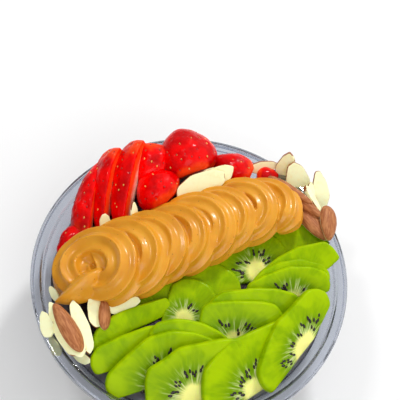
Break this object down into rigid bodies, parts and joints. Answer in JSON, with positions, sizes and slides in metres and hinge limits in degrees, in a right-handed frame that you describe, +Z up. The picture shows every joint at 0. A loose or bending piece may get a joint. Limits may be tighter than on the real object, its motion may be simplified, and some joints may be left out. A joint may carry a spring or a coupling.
{
  "type": "acai bowl",
  "caption": "Clear round takeaway bowl of dark berry puree, topped with a piped rope of nut butter, fanned kiwi half slices, strawberry wedges and sliced almonds.",
  "frame": {"origin": "middle of the bowl's foot ring, on the table", "axes": "+Z up; -Y towards the eater, whose side shows the kiwi; +X to the eater's right"},
  "size_m": [0.17, 0.17, 0.0775],
  "materials": {
    "clear_plastic": "clear thermoformed PET, gloss",
    "kiwi_flesh": "wet green kiwi flesh",
    "strawberry_red": "wet red strawberry",
    "almond_skin": "brown almond skin, dry",
    "almond_flesh": "cut cream almond, dry",
    "nut_butter": "smooth oily nut butter",
    "acai_puree": "frozen dark purple puree"
  },
  "bodies": {
    "root": {"bowl_floor": "clear_plastic", "bowl_wall": "clear_plastic", "bowl_rim": "clear_plastic", "kiwi_slice_1": "kiwi_flesh", "kiwi_slice_2": "kiwi_flesh", "kiwi_slice_3": "kiwi_flesh", "kiwi_slice_4": "kiwi_flesh", "kiwi_slice_5": "kiwi_flesh", "kiwi_slice_6": "kiwi_flesh", "kiwi_slice_7": "kiwi_flesh", "kiwi_slice_8": "kiwi_flesh", "kiwi_slice_9": "kiwi_flesh", "kiwi_slice_10": "kiwi_flesh", "kiwi_slice_11": "kiwi_flesh", "kiwi_slice_12": "kiwi_flesh", "kiwi_slice_13": "kiwi_flesh", "kiwi_slice_14": "kiwi_flesh", "kiwi_slice_15": "kiwi_flesh", "kiwi_slice_16": "kiwi_flesh", "kiwi_slice_17": "kiwi_flesh", "strawberry_piece_1": "strawberry_red", "strawberry_piece_2": "strawberry_red", "strawberry_piece_3": "strawberry_red", "strawberry_piece_4": "strawberry_red", "strawberry_piece_5": "strawberry_red", "strawberry_piece_6": "strawberry_red", "strawberry_piece_7": "strawberry_red", "strawberry_piece_8": "strawberry_red", "strawberry_piece_9": "strawberry_red", "almond_cap_1": "almond_skin", "almond_cap_2": "almond_skin", "almond_cap_3": "almond_skin", "almond_cap_4": "almond_skin", "almond_cap_5": "almond_skin", "almond_cap_6": "almond_skin", "almond_slice_1": "almond_flesh", "almond_slice_2": "almond_flesh", "almond_slice_3": "almond_flesh", "almond_slice_4": "almond_flesh", "almond_slice_5": "almond_flesh", "almond_slice_6": "almond_flesh", "almond_slice_7": "almond_flesh", "almond_slice_8": "almond_flesh", "almond_slice_9": "almond_flesh", "almond_slice_10": "almond_flesh", "almond_slice_11": "almond_flesh", "almond_slice_12": "almond_flesh", "almond_slice_13": "almond_flesh", "almond_slice_14": "almond_flesh", "almond_slice_15": "almond_flesh", "almond_slice_16": "almond_flesh", "almond_slice_17": "almond_flesh", "almond_slice_18": "almond_flesh", "nut_butter": "nut_butter", "acai_puree": "acai_puree"}
  },
  "joints": []
}
